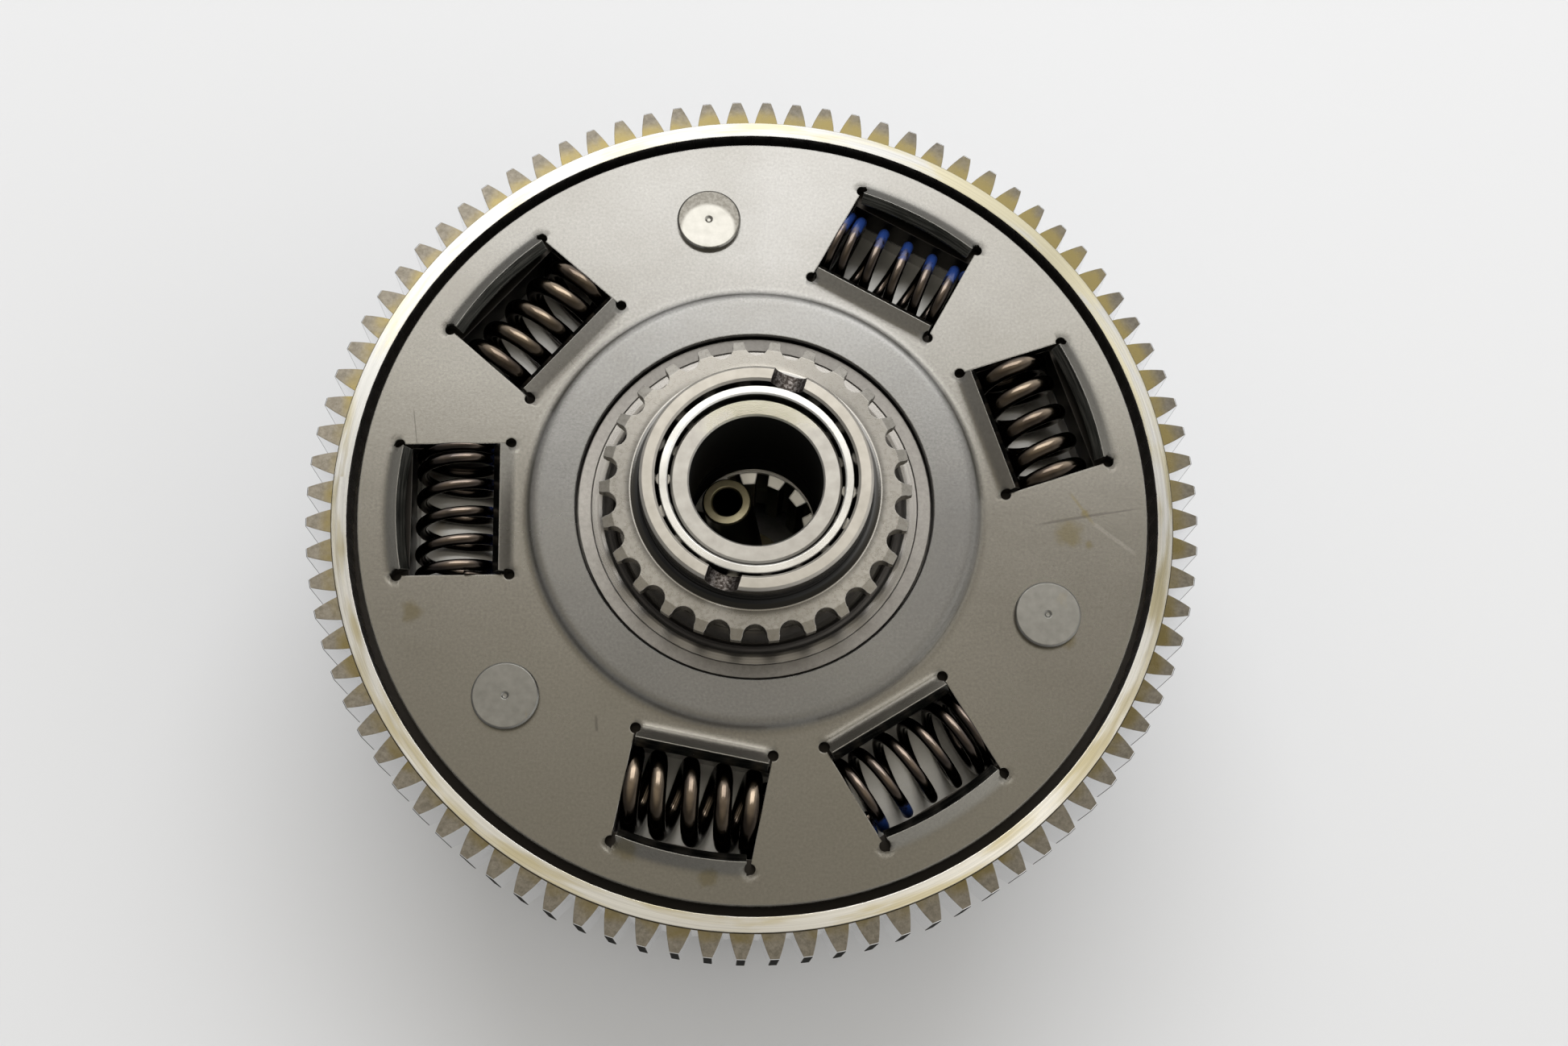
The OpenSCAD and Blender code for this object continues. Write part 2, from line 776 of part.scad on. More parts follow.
clutch_housing();
damper_plate();
damper_rivet(1);  // damper_rivet_1
damper_rivet(2);  // damper_rivet_2
damper_rivet(3);  // damper_rivet_3
housing_boss();
oil_pump_sprocket();
gear_cushion_spring();
primary_gear();
damper_spring(1);  // damper_spring_1
damper_spring(2);  // damper_spring_2
damper_spring(3);  // damper_spring_3
damper_spring(4);  // damper_spring_4
damper_spring(5);  // damper_spring_5
damper_spring(6);  // damper_spring_6
needle_cage();
needle_rollers();
bearing_sleeve();
thrust_washer();
clutch_hub();
friction_plate(1);  // friction_plate_1
friction_plate(2);  // friction_plate_2
friction_plate(3);  // friction_plate_3
friction_plate(4);  // friction_plate_4
friction_plate(5);  // friction_plate_5
friction_plate(6);  // friction_plate_6
friction_plate(7);  // friction_plate_7
steel_plate(1);  // steel_plate_1
steel_plate(2);  // steel_plate_2
steel_plate(3);  // steel_plate_3
steel_plate(4);  // steel_plate_4
steel_plate(5);  // steel_plate_5
steel_plate(6);  // steel_plate_6
judder_seat();
judder_spring();
pressure_plate();
bearing_outer_race();
bearing_inner_race();
bearing_balls();
release_rod();
clutch_spring(1);  // clutch_spring_1
clutch_spring(2);  // clutch_spring_2
clutch_spring(3);  // clutch_spring_3
clutch_spring(4);  // clutch_spring_4
clutch_spring(5);  // clutch_spring_5
spring_washer(1);  // spring_washer_1
spring_washer(2);  // spring_washer_2
spring_washer(3);  // spring_washer_3
spring_washer(4);  // spring_washer_4
spring_washer(5);  // spring_washer_5
spring_bolt(1);  // spring_bolt_1
spring_bolt(2);  // spring_bolt_2
spring_bolt(3);  // spring_bolt_3
spring_bolt(4);  // spring_bolt_4
spring_bolt(5);  // spring_bolt_5
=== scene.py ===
"""Looks for the motorcycle clutch: materials, round springs, light and camera around the CAD frame.

Lengths are in metres and the row frame is the CAD's: +Z up the clutch's axis, floor at z = 0.
"""

import math

import bmesh
import bpy
from mathutils import Matrix, Vector


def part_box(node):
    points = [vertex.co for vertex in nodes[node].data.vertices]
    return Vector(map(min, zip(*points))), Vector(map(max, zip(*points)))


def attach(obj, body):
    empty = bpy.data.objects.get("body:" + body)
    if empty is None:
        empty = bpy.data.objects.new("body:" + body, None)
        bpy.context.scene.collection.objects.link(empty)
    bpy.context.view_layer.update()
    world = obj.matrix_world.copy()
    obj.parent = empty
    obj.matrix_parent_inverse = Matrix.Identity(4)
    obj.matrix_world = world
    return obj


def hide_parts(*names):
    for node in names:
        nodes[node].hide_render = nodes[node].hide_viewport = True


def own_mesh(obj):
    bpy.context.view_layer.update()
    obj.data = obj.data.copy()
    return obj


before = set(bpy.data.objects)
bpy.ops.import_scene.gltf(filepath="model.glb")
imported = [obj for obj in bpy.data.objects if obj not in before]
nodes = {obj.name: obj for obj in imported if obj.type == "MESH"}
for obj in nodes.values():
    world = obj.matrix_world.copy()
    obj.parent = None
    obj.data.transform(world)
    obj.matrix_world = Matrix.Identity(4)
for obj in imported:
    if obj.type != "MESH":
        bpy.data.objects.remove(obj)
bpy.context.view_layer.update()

MM = 0.001

# ---- places, from the frame ----

LAND_Z = 70 * MM  # top of the gear's turned land and of the damper plate
TIP_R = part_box("primary_gear")[1].x
TOOTH_DEPTH = 4.35 * MM
ROOT_R = TIP_R - TOOTH_DEPTH
LAND_OUTER_R = ROOT_R - 0.2 * MM
LAND_INNER_R = LAND_OUTER_R - 2.6 * MM
RAISED_R = 39.8 * MM  # edge of the damper plate's raised centre
HUB_END_R = 33.5 * MM  # the gear's hub: its flat end lies between these two radii
HUB_STEP_R = 28.78 * MM
COLLAR_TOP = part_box("housing_boss")[1].z
SLOT_ANGLE = math.radians(76.1)
SLOT_R = 2.9 * MM
FILLET_R = 21.5 * MM  # outer edge of the sprocket's fillet round the collar
SLEEVE_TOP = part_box("bearing_sleeve")[1].z
SPRING_CIRCLE_R = 52.6 * MM
SPRING_Z = 63.2 * MM
SPRING_HALF = 11.95 * MM
SPRING_OUTER_R = 7.75 * MM
RIVET_ANGLE = -17.4
RIVET_CIRCLE_R = 54.8 * MM
# roots of the windows' lips, and half the length of an inner one
FOLD_IN_R = 42.4 * MM
FOLD_OUT_R = 64.8 * MM
LIP_HALF = 12.5 * MM
# the three windows of the light springs, then the three of the strong ones
WINDOW_ANGLES = [RIVET_ANGLE + turn + 120 * k for turn in (-37.8, 39.6) for k in range(3)]
# the clutch hub's spline bore: beyond its teeth, its lower end and its lead-in
SPLINE_BORE_R = 12.6 * MM
SPLINE_LOW = 31 * MM
SPLINE_LEAD_IN = 51.2 * MM
LINING_OUTER_R = 65.5 * MM
CLUTCH_SPRING_CIRCLE_R = 30 * MM


def polar(radius, degrees, z=0.0):
    """Point at a radius and an angle about the clutch's axis."""
    a = math.radians(degrees)
    return Vector((radius * math.cos(a), radius * math.sin(a), z))


# ---- materials ----


class Tree:
    """A material's node tree, with one short call for each kind of node used here."""

    def __init__(self, name):
        self.material = bpy.data.materials.new(name)
        self.material.use_nodes = True
        self.nodes = self.material.node_tree.nodes
        self.links = self.material.node_tree.links
        self.shader = self.nodes["Principled BSDF"]
        self.place = self.add("ShaderNodeTexCoord").outputs["Object"]
        split = self.add("ShaderNodeSeparateXYZ", {0: self.place})
        self.x, self.y, self.z = split.outputs
        self.radius = self.math("POWER", self.sum(self.square(self.x), self.square(self.y)), 0.5)
        self.angle = self.math("ARCTAN2", self.y, self.x)

    def add(self, kind, inputs=None, **properties):
        node = self.nodes.new(kind)
        for key, value in properties.items():
            setattr(node, key, value)
        for key, value in (inputs or {}).items():
            self.put(node.inputs[key], value)
        return node

    def put(self, socket, value):
        if isinstance(value, bpy.types.NodeSocket):
            self.links.new(value, socket)
        elif isinstance(value, tuple) and len(value) == 3 and socket.type == "RGBA":
            socket.default_value = (*value, 1.0)
        else:
            socket.default_value = value

    def math(self, operation, a, b=0.0):
        return self.add("ShaderNodeMath", {0: a, 1: b}, operation=operation).outputs[0]

    def sum(self, a, b):
        return self.math("ADD", a, b)

    def times(self, a, b):
        return self.math("MULTIPLY", a, b)

    def square(self, a):
        return self.math("MULTIPLY", a, a)

    def flip(self, a):
        """One minus a."""
        return self.math("SUBTRACT", 1.0, a)

    def larger(self, a, b):
        return self.math("MAXIMUM", a, b)

    def vector(self, x, y, z):
        return self.add("ShaderNodeCombineXYZ", {0: x, 1: y, 2: z}).outputs[0]

    def dot(self, a, b):
        return self.add("ShaderNodeVectorMath", {0: a, 1: b}, operation="DOT_PRODUCT").outputs["Value"]

    def geometry(self, output):
        return self.add("ShaderNodeNewGeometry").outputs[output]

    def rise(self, value, low, high):
        """0 where value is below low, 1 above high, smooth between."""
        node = self.add(
            "ShaderNodeMapRange",
            {"Value": value, "From Min": low, "From Max": high},
            interpolation_type="SMOOTHSTEP",
        )
        return node.outputs["Result"]

    def remap(self, value, low, high, to_low, to_high):
        node = self.add(
            "ShaderNodeMapRange",
            {"Value": value, "From Min": low, "From Max": high, "To Min": to_low, "To Max": to_high},
        )
        return node.outputs["Result"]

    def band(self, value, low, high, soft=0.05 * MM):
        """1 where value lies between low and high."""
        inside = self.rise(value, low - soft, low + soft)
        return self.times(inside, self.flip(self.rise(value, high - soft, high + soft)))

    def away(self, centre):
        """Distance from a point."""
        node = self.add("ShaderNodeVectorMath", {0: self.place, 1: tuple(centre)}, operation="DISTANCE")
        return node.outputs["Value"]

    def spot(self, centre, radius, soft):
        """1 within a radius of a point, fading out over soft."""
        return self.flip(self.rise(self.away(centre), radius, radius + soft))

    def along(self, direction, start):
        """Distance past a point in a direction."""
        return self.sum(self.dot(self.place, tuple(direction)), -direction.dot(start))

    def line(self, start, end, width):
        """1 along a thin line between two points of the XY plane, fading at its ends."""
        span = end - start
        ahead = span.normalized()
        offset = self.along(Vector((-ahead.y, ahead.x, 0.0)), start)
        run = self.along(ahead, start)
        near = self.flip(self.rise(self.math("ABSOLUTE", offset), 0.3 * width, width))
        return self.times(near, self.band(run, 0.0, span.length, 0.12 * span.length))

    def noise(self, size, detail=3.0, rough=0.5, place=None, distortion=0.0):
        """Noise with features of about this size, in metres."""
        node = self.add(
            "ShaderNodeTexNoise",
            {
                "Vector": self.place if place is None else place,
                "Scale": 1.0 / size,
                "Detail": detail,
                "Roughness": rough,
                "Distortion": distortion,
            },
        )
        return node.outputs["Fac"]

    def turned(self, size):
        """Noise drawn out into rings about the clutch's axis, as a lathe leaves."""
        uneven = self.times(self.angle, 0.4 * MM)
        return self.noise(size, detail=2.0, place=self.vector(self.radius, uneven, self.z))

    def mix(self, factor, a, b):
        """Colour a where factor is 0, b where it is 1."""
        return self.add("ShaderNodeMix", {"Factor": factor, 6: a, 7: b}, data_type="RGBA").outputs[2]

    def blend(self, factor, a, b):
        """Number a where factor is 0, b where it is 1."""
        return self.add("ShaderNodeMix", {"Factor": factor, 2: a, 3: b}, data_type="FLOAT").outputs[0]

    def between(self, factor, a, b):
        """Normal a where factor is 0, b where it is 1."""
        return self.add("ShaderNodeMix", {"Factor": factor, 4: a, 5: b}, data_type="VECTOR").outputs[1]

    def mottled(self, noise, a, b, low=0.3):
        """Colour a where a noise is below low, b where it is above 1 - low."""
        return self.mix(self.remap(noise, low, 1 - low, 0.0, 1.0), a, b)

    def around(self, values):
        """A number that changes smoothly around the clutch's axis. The values are for equal steps,
        the first at -180 degrees."""
        ramp = self.add("ShaderNodeValToRGB")
        stops = ramp.color_ramp.elements
        closed = [*values, values[0]]
        last = len(closed) - 1
        for i, value in enumerate(closed):
            # the ramp starts with a stop at each end
            stop = stops[0] if i == 0 else stops[-1] if i == last else stops.new(i / last)
            stop.color = (value, value, value, 1.0)
        self.put(ramp.inputs[0], self.remap(self.angle, -math.pi, math.pi, 0.0, 1.0))
        return ramp.outputs[0]

    def shade(self, color, factor):
        """Colour times a number."""
        inputs = {"Factor": 1.0, 6: color, 7: factor}
        return self.add("ShaderNodeMix", inputs, data_type="RGBA", blend_type="MULTIPLY").outputs[2]

    def faces(self, direction=None):
        """How far the face looks in a direction, or away from the clutch's axis."""
        flat = self.geometry("True Normal")
        if direction is not None:
            return self.dot(flat, direction)
        outward = self.vector(self.x, self.y, 0.0)
        return self.math("DIVIDE", self.dot(flat, outward), self.radius)

    def rounded(self, radius):
        """Normal with the edges rounded to this radius."""
        return self.add("ShaderNodeBevel", {"Radius": radius}, samples=4).outputs[0]

    def edge(self, rounded):
        """1 on edges, from a rounded normal."""
        return self.flip(self.rise(self.dot(rounded, self.geometry("Normal")), 0.80, 0.985))

    def bump(self, height, depth, normal=None):
        inputs = {"Height": height, "Distance": depth, "Strength": 1.0}
        if normal is not None:
            inputs["Normal"] = normal
        return self.add("ShaderNodeBump", inputs).outputs[0]

    def finish(self, color, roughness, normal=None, metallic=1.0):
        """The finished material."""
        self.put(self.shader.inputs["Base Color"], color)
        self.put(self.shader.inputs["Roughness"], roughness)
        self.put(self.shader.inputs["Metallic"], metallic)
        if normal is not None:
            self.put(self.shader.inputs["Normal"], normal)
        return self.material


# radius, angle and size of the stains on the damper plate
PLATE_STAINS = [
    (56.0 * MM, -1.3, 3.0 * MM),
    (59.4 * MM, -2.8, 1.0 * MM),
    (58.6 * MM, 2.6, 0.8 * MM),
    (62.5 * MM, -158.0, 2.2 * MM),
    (64.0 * MM, -106.0, 2.6 * MM),
    (65.5 * MM, -93.0, 2.0 * MM),
    (60.0 * MM, -20.0, 1.6 * MM),
]
# lines on the damper plate: strength and colour, then both ends and the width of each
PLATE_LINES = [
    (
        0.42,
        (0.06, 0.055, 0.05),
        [
            ((50.5 * MM, 0.1), (67.0 * MM, 3.4), 0.20 * MM),
            ((51.5 * MM, 0.4), (62.7 * MM, 2.8), 0.34 * MM),
            ((46.5 * MM, -122.0), (48.5 * MM, -120.0), 0.35 * MM),
            ((63.0 * MM, 168.0), (60.0 * MM, 176.0), 0.15 * MM),
        ],
    ),
    (0.25, (0.27, 0.26, 0.24), [((60.0 * MM, 0.9), (67.5 * MM, -3.4), 0.55 * MM)]),
    (0.35, (0.15, 0.125, 0.055), [((56.3 * MM, 6.1), (60.0 * MM, 0.9), 0.40 * MM)]),
]


def oil_patches(tree, size, amount, seed):
    """Mask of the uneven oil left on a surface: 1 where the film is thick. amount from 0 to 1."""
    step = (seed * 0.37, seed * 0.11, 0.0)
    shifted = tree.add("ShaderNodeVectorMath", {0: tree.place, 1: step}, operation="ADD").outputs[0]
    field = tree.noise(size, detail=4.0, rough=0.6, place=shifted, distortion=0.6)
    return tree.rise(field, 0.78 - 0.4 * amount, 0.90 - 0.4 * amount)


def plain_metal(name, color, roughness, grain, depth=0.004 * MM, worn=1.35, rings=False):
    """Bare metal: fine grain or lathe rings, faint mottling, and lighter, smoother worn edges."""
    tree = Tree(name)
    normal = tree.rounded(0.2 * MM)
    edge = tree.edge(normal)
    mottle = tree.noise(9 * MM, detail=4.0)
    fine = tree.turned(grain) if rings else tree.noise(grain)
    shade = tree.remap(mottle, 0.3, 0.7, 0.90, 1.08)
    dark = tuple(0.80 * c for c in color)
    base = tree.mottled(mottle, dark, color, 0.35)
    light = tuple(min(1.0, worn * c) for c in color)
    base = tree.mix(tree.times(edge, 0.7), base, light)
    rough = tree.times(tree.blend(edge, roughness, 0.8 * roughness), shade)
    return tree.finish(base, rough, tree.bump(fine, depth, normal))


def plate_folds(tree):
    """1 in the fold round the plate's raised centre and at the roots of the windows' lips."""
    folds = tree.band(tree.radius, FOLD_OUT_R - 1.2 * MM, FOLD_OUT_R + 2.2 * MM, 0.25 * MM)
    for angle in WINDOW_ANGLES:
        ahead = tree.along(polar(1.0, angle), Vector())
        aside = tree.math("ABSOLUTE", tree.along(polar(1.0, angle + 90), Vector()))
        strip = tree.band(ahead, FOLD_IN_R - 1.9 * MM, FOLD_IN_R + 1.0 * MM, 0.25 * MM)
        strip = tree.times(strip, tree.flip(tree.rise(aside, LIP_HALF - 0.3 * MM, LIP_HALF + 0.3 * MM)))
        folds = tree.larger(folds, strip)
    centre = tree.band(tree.radius, RAISED_R - 3.4 * MM, RAISED_R + 1.8 * MM, 0.8 * MM)
    return tree.larger(centre, folds)


def sheared_ends(tree):
    """1 on the cut ends of the windows' lips: the outer lips' face inwards, the inner ones' outwards."""
    outward = tree.faces()
    outer = tree.times(
        tree.rise(tree.radius, 56 * MM, 57 * MM), tree.rise(tree.times(outward, -1.0), 0.4, 0.6)
    )
    inner = tree.times(tree.band(tree.radius, 42.3 * MM, 52 * MM), tree.rise(outward, 0.55, 0.7))
    return tree.times(tree.sum(outer, inner), tree.rise(tree.z, LAND_Z - 1.2 * MM, LAND_Z - 1.0 * MM))


def plate_stains(tree):
    """1 in the middle of each stain on the plate, with an uneven outline."""
    wander = tree.math("SUBTRACT", tree.noise(3.5 * MM, detail=4.0, rough=0.6), 0.5)
    stains = 0.0
    for radius, degrees, size in PLATE_STAINS:
        away = tree.sum(tree.away(polar(radius, degrees, LAND_Z)), tree.times(wander, 1.6 * size))
        stains = tree.larger(stains, tree.flip(tree.rise(away, 0.35 * size, 1.1 * size)))
    return stains


def plate_marks(tree, base):
    """The plate's colour with its scratches, its rub mark and its dribble of oil."""
    for strength, color, lines in PLATE_LINES:
        mark = 0.0
        for start, end, width in lines:
            mark = tree.larger(mark, tree.line(polar(*start), polar(*end), width))
        base = tree.mix(tree.times(mark, strength), base, color)
    return base


def stamped_steel():
    """Damper plate: satin phosphated sheet with faint blotches, stains and scratches, soft folds,
    and rough dark ends where its lips were sheared."""
    tree = Tree("stamped_steel")
    fold = plate_folds(tree)
    normal = tree.between(fold, tree.rounded(0.30 * MM), tree.rounded(1.7 * MM))
    edge = tree.times(tree.edge(tree.rounded(0.15 * MM)), tree.flip(fold))

    # the sheet is warmer outside its raised centre, but not at the back, where its neutral tone is a painted
    # reflection
    warm = tree.around((0.9, 1.0, 1.0, 1.0, 1.0, 0.4, 0.0, 0.3))
    outer = tree.mix(warm, (0.182, 0.179, 0.172), (0.182, 0.173, 0.152))
    raised = tree.flip(tree.rise(tree.radius, RAISED_R - 1.5 * MM, RAISED_R + 1 * MM))
    base = tree.mix(raised, outer, (0.172, 0.171, 0.167))
    # painted light: the sheet is lighter or darker by its angle round the axis
    base = tree.shade(base, tree.around((0.98, 1.06, 1.02, 1.08, 0.82, 0.90, 1.12, 0.96)))
    blotch = tree.noise(22 * MM, detail=5.0, rough=0.6)
    base = tree.mix(tree.remap(blotch, 0.40, 0.75, 0.0, 0.30), base, (0.150, 0.140, 0.122))

    stain = tree.times(plate_stains(tree), 0.5)
    base = plate_marks(tree, tree.mix(stain, base, (0.130, 0.108, 0.050)))
    grit = tree.noise(0.5 * MM, detail=3.0, rough=0.7)
    base = tree.shade(base, tree.remap(grit, 0.3, 0.7, 0.90, 1.10))
    drawn_out = tree.vector(
        tree.times(tree.radius, 3.5), tree.times(tree.angle, 9 * MM), tree.times(tree.z, 3.5)
    )
    striation = tree.rise(tree.noise(1.0 * MM, detail=3.0, place=drawn_out), 0.35, 0.70)
    sheared = tree.mix(striation, (0.030, 0.031, 0.028), (0.11, 0.11, 0.10))
    base = tree.mix(sheared_ends(tree), base, sheared)
    # painted highlight: the edges, but for the folds, are painted lighter
    base = tree.mix(tree.times(edge, 0.8), base, (0.42, 0.41, 0.39))
    rough = tree.blend(stain, tree.remap(blotch, 0.3, 0.7, 0.235, 0.285), 0.22)
    relief = tree.bump(tree.noise(0.22 * MM, detail=3.0), 0.004 * MM, normal)
    return tree.finish(base, rough, tree.bump(tree.noise(14 * MM, detail=2.0), 0.04 * MM, relief))


def gear_teeth(tree, mottle, facing_up, tip):
    """Colour and roughness of the teeth: blasted ends, flanks polished by the pinion, tips painted
    near black as shade, and oil that gathers at the roots, most of it on the right of the gear.
    The ends and the oil are shaded by their angle round the axis: painted light."""
    # painted light: the ends and their oil are shaded by their angle round the axis
    painted_light_by_angle = tree.around((0.175, 0.150, 0.145, 0.130, 0.098, 0.075, 0.100, 0.150))
    blasted = tree.mottled(mottle, (0.84, 0.76, 0.62), (1.32, 1.20, 1.00), 0.35)
    color = tree.mix(facing_up, (0.88, 0.885, 0.90), tree.shade(blasted, painted_light_by_angle))
    # painted shade: the tips' walls are painted near black
    color = tree.mix(tip, color, (0.006, 0.006, 0.005))
    amount = tree.around((0.25, 0.15, 0.10, 0.15, 0.60, 0.95, 0.55, 0.35))
    near_root = tree.flip(tree.rise(tree.radius, ROOT_R + 0.2 * MM, ROOT_R + 4.1 * MM))
    film = tree.noise(9 * MM, detail=4.0, rough=0.6, distortion=0.5)
    wet = tree.sum(tree.times(near_root, 0.45), tree.sum(tree.times(amount, 0.45), film))
    wet = tree.rise(wet, 0.80, 1.30)
    amber = tree.shade((1.22, 0.98, 0.40), painted_light_by_angle)
    color = tree.mix(tree.times(wet, tree.blend(facing_up, 0.10, 0.95)), color, amber)
    rough = tree.blend(wet, tree.blend(facing_up, 0.14, 0.42), 0.24)
    return color, tree.blend(tip, rough, 1.0)


def gear_land(tree):
    """Colour and roughness of the polished land, with streaks of oil along it, and painted light round the
    axis.
    """
    place = tree.vector(tree.times(tree.radius, 3.0), tree.times(tree.angle, 30 * MM), 0.0)
    streaks = tree.noise(7 * MM, detail=3.0, place=place, distortion=0.2)
    amount = tree.around((0.30, 0.40, 0.30, 0.50, 0.30, 1.00, 0.40, 0.45))
    oil = tree.rise(tree.sum(streaks, tree.times(amount, 0.30)), 0.54, 0.80)
    brushed = tree.remap(tree.turned(0.22 * MM), 0.3, 0.7, 0.90, 1.08)
    # painted light: the land is lighter or darker by its angle round the axis
    painted_light_by_angle = tree.around((0.40, 0.72, 0.66, 1.00, 0.33, 0.17, 0.29, 0.37))
    color = tree.mix(tree.times(oil, 0.65), (0.98, 0.975, 0.95), (0.86, 0.76, 0.42))
    return tree.shade(color, tree.times(brushed, painted_light_by_angle)), tree.blend(oil, 0.26, 0.16)


def gear_hub(tree, mottle, is_cone):
    """Colour of the hub: a matte end shaded round the axis as painted light, and a turned cone inside it."""
    end = tree.mottled(mottle, (0.185, 0.176, 0.166), (0.240, 0.230, 0.216))
    # painted light: the end is lighter or darker by its angle round the axis
    end = tree.shade(end, tree.around((1.28, 1.14, 0.70, 0.98, 1.02, 0.86, 0.60, 0.79)))
    cone = tree.mottled(tree.turned(0.5 * MM), (0.205, 0.197, 0.188), (0.285, 0.275, 0.262))
    return tree.mix(is_cone, end, cone)


def gear_steel():
    """Primary gear: teeth, polished land, a groove inside it painted dark as shade, and the hub."""
    tree = Tree("gear_steel")
    tree.shader.inputs["Specular IOR Level"].default_value = 0.1  # for the tips, painted near black as shade and not metallic
    normal = tree.rounded(0.18 * MM)
    mottle = tree.noise(0.7 * MM, detail=4.0, rough=0.7)
    facing_up = tree.rise(tree.faces((0.0, 0.0, 1.0)), 0.9, 0.97)

    # where each part of the gear is
    tip = tree.times(tree.rise(tree.radius, TIP_R - 0.12 * MM, TIP_R - 0.06 * MM), tree.flip(facing_up))
    painted_shade_seam = tree.times(
        tree.band(tree.radius, LAND_OUTER_R - 0.02 * MM, ROOT_R, 0.03 * MM),
        tree.flip(tree.rise(tree.z, LAND_Z - 0.3 * MM, LAND_Z - 0.2 * MM)),
    )
    is_land = tree.times(
        tree.band(tree.radius, LAND_INNER_R, LAND_OUTER_R),
        tree.rise(tree.z, LAND_Z - 0.3 * MM, LAND_Z - 0.1 * MM),
    )
    inside = tree.flip(tree.rise(tree.radius, LAND_INNER_R - 0.05 * MM, LAND_INNER_R + 0.05 * MM))
    low = tree.flip(tree.rise(tree.z, LAND_Z - 1.5 * MM, LAND_Z - 0.4 * MM))
    is_hub = tree.flip(tree.rise(tree.radius, HUB_END_R - 0.5 * MM, HUB_END_R + 0.5 * MM))
    is_cone = tree.flip(tree.rise(tree.radius, HUB_STEP_R - 0.05 * MM, HUB_STEP_R + 0.05 * MM))

    tooth, tooth_rough = gear_teeth(tree, mottle, facing_up, tip)
    land, land_rough = gear_land(tree)
    # painted shade: a dark line where the land meets the roots of the teeth
    base = tree.mix(tree.times(painted_shade_seam, facing_up), tooth, (0.03, 0.025, 0.015))
    base = tree.mix(is_land, base, land)
    # painted shade: inside the land and below its top, the gear is painted near black
    base = tree.mix(tree.times(inside, low), base, (0.030, 0.027, 0.024))
    base = tree.mix(is_hub, base, gear_hub(tree, mottle, is_cone))
    base = tree.mix(tree.times(tree.edge(normal), 0.35), base, (0.46, 0.44, 0.40))
    rough = tree.blend(is_land, tooth_rough, land_rough)
    rough = tree.blend(inside, rough, tree.blend(is_cone, 0.42, 0.24))
    fine = tree.blend(is_land, tree.noise(0.16 * MM, detail=2.0), tree.turned(0.12 * MM))
    metal = tree.flip(tree.times(tip, tree.flip(is_land)))
    return tree.finish(base, rough, tree.bump(fine, 0.006 * MM, normal), metal)


def collar_steel():
    """Collar: matte ground end, turned sides, and rough dark metal in the two slots."""
    tree = Tree("collar_steel")
    normal = tree.rounded(0.15 * MM)
    mottle = tree.noise(2.5 * MM, detail=4.0)
    end = tree.mottled(mottle, (0.300, 0.283, 0.252), (0.366, 0.346, 0.312))
    side = tree.mottled(mottle, (0.17, 0.162, 0.155), (0.24, 0.228, 0.218))
    on_end = tree.rise(tree.z, COLLAR_TOP - 0.6 * MM, COLLAR_TOP - 0.3 * MM)
    base = tree.mix(on_end, side, end)
    # distance from the slots' common axis
    across = tree.along(Vector((-math.sin(SLOT_ANGLE), math.cos(SLOT_ANGLE), 0.0)), Vector())
    below = tree.math("SUBTRACT", tree.z, COLLAR_TOP)
    away = tree.math("POWER", tree.sum(tree.square(across), tree.square(below)), 0.5)
    in_slot = tree.flip(tree.rise(away, SLOT_R + 0.005 * MM, SLOT_R + 0.03 * MM))
    rust = tree.noise(0.55 * MM, detail=4.0, rough=0.7)
    slot = tree.mix(tree.rise(rust, 0.42, 0.66), (0.035, 0.029, 0.026), (0.20, 0.185, 0.178))
    base = tree.mix(in_slot, base, slot)
    base = tree.mix(tree.times(tree.edge(normal), 0.5), base, (0.52, 0.50, 0.48))
    rough = tree.blend(in_slot, tree.blend(on_end, 0.26, 0.42), 0.40)
    rings = tree.blend(in_slot, tree.turned(0.14 * MM), tree.times(rust, 14.0))
    return tree.finish(base, rough, tree.bump(rings, 0.005 * MM, normal))


def sleeve_steel():
    """Bearing sleeve: matte ground end with a wet patch of oil at the back; below the end, polished bore and
    all, painted near black as shade.
    """
    tree = Tree("sleeve_steel")
    normal = tree.rounded(0.15 * MM)
    mottle = tree.noise(1.8 * MM, detail=4.0)
    end = tree.mottled(mottle, (0.290, 0.277, 0.256), (0.352, 0.340, 0.316))
    on_end = tree.rise(tree.z, SLEEVE_TOP - 0.5 * MM, SLEEVE_TOP - 0.3 * MM)
    # painted shade: below its end, the sleeve is painted near black
    base = tree.mix(on_end, (0.018, 0.018, 0.017), end)
    back = tree.math("SINE", tree.sum(tree.angle, math.radians(-2.0)))
    wet = tree.times(tree.rise(tree.sum(back, tree.times(mottle, 0.6)), 0.85, 1.35), on_end)
    base = tree.mix(tree.times(wet, 0.60), base, (0.31, 0.300, 0.220))
    rough = tree.blend(wet, tree.blend(on_end, 0.85, 0.42), 0.10)
    fine = tree.noise(0.15 * MM, detail=2.0)
    return tree.finish(base, rough, tree.bump(fine, 0.004 * MM, normal))


